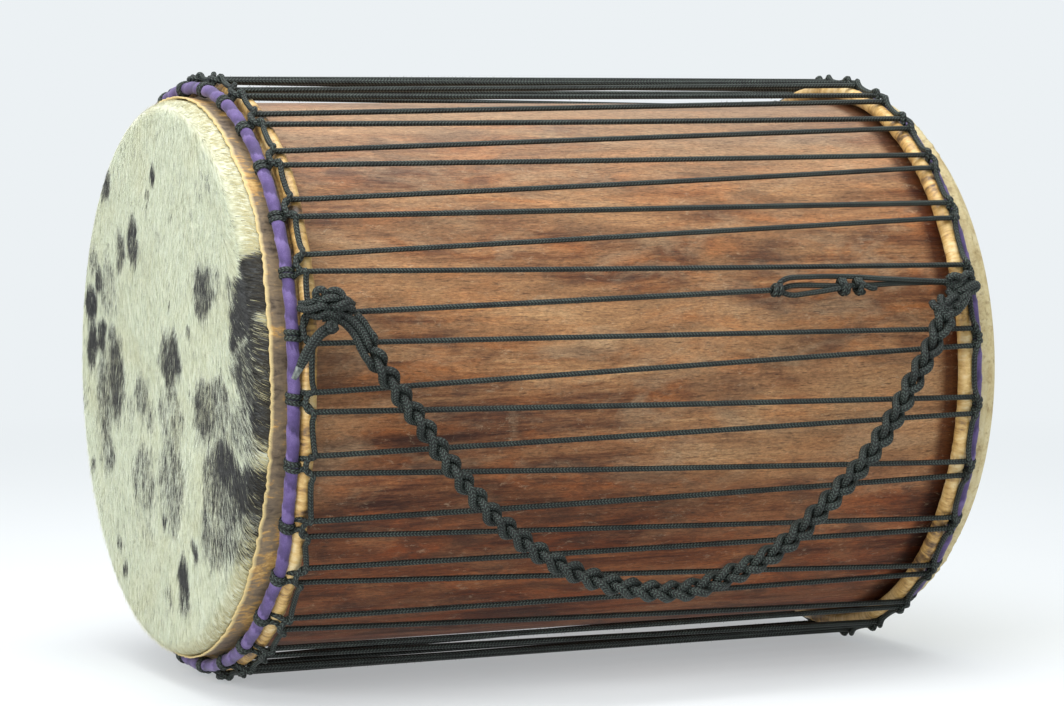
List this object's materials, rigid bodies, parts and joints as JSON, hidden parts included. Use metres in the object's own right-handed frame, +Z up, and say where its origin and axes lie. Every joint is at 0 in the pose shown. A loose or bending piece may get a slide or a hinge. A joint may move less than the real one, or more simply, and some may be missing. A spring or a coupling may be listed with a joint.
{
  "type": "dunun drum",
  "caption": "Cylindrical wooden drum on its side, with hide heads on iron rings, a tuning rope laced from end to end, and a braided carrying strap.",
  "frame": {"origin": "on the floor, at the centre of the bottom of the drum's bounding box", "axes": "+X along the drum's axis from the spotted front head to the plain back head, +Z up, with the carrying strap on the -Y side"},
  "size_m": [0.5932, 0.4622, 0.45],
  "materials": {
    "wood": "oiled hardwood with lengthwise grain",
    "hair_hide": "rawhide with short spotted hair",
    "bare_hide": "shaved rawhide",
    "iron": "dark rolled iron",
    "cloth": "wound cotton strip",
    "rope": "braided synthetic cord"
  },
  "bodies": {
    "drum": {"shell": "wood", "front_skin": "hair_hide", "back_skin": "bare_hide", "front_flesh_ring": "iron", "back_flesh_ring": "iron", "front_crown_ring": "iron", "back_crown_ring": "iron", "front_crown_cloth": "cloth", "back_crown_cloth": "cloth", "front_cradle_rope": "rope", "back_cradle_rope": "rope", "lacing_rope": "rope", "front_strap_knot": "rope", "back_strap_hitch": "rope"},
    "strap": {"carrying_strap": "rope"}
  },
  "joints": [
    {"name": "strap_swing", "type": "hinge", "parent": "drum", "child": "strap", "pos_m": [0, -0.2237, 0.2781], "axis": [-1, 0, 0], "range_deg": [0, 180]}
  ]
}
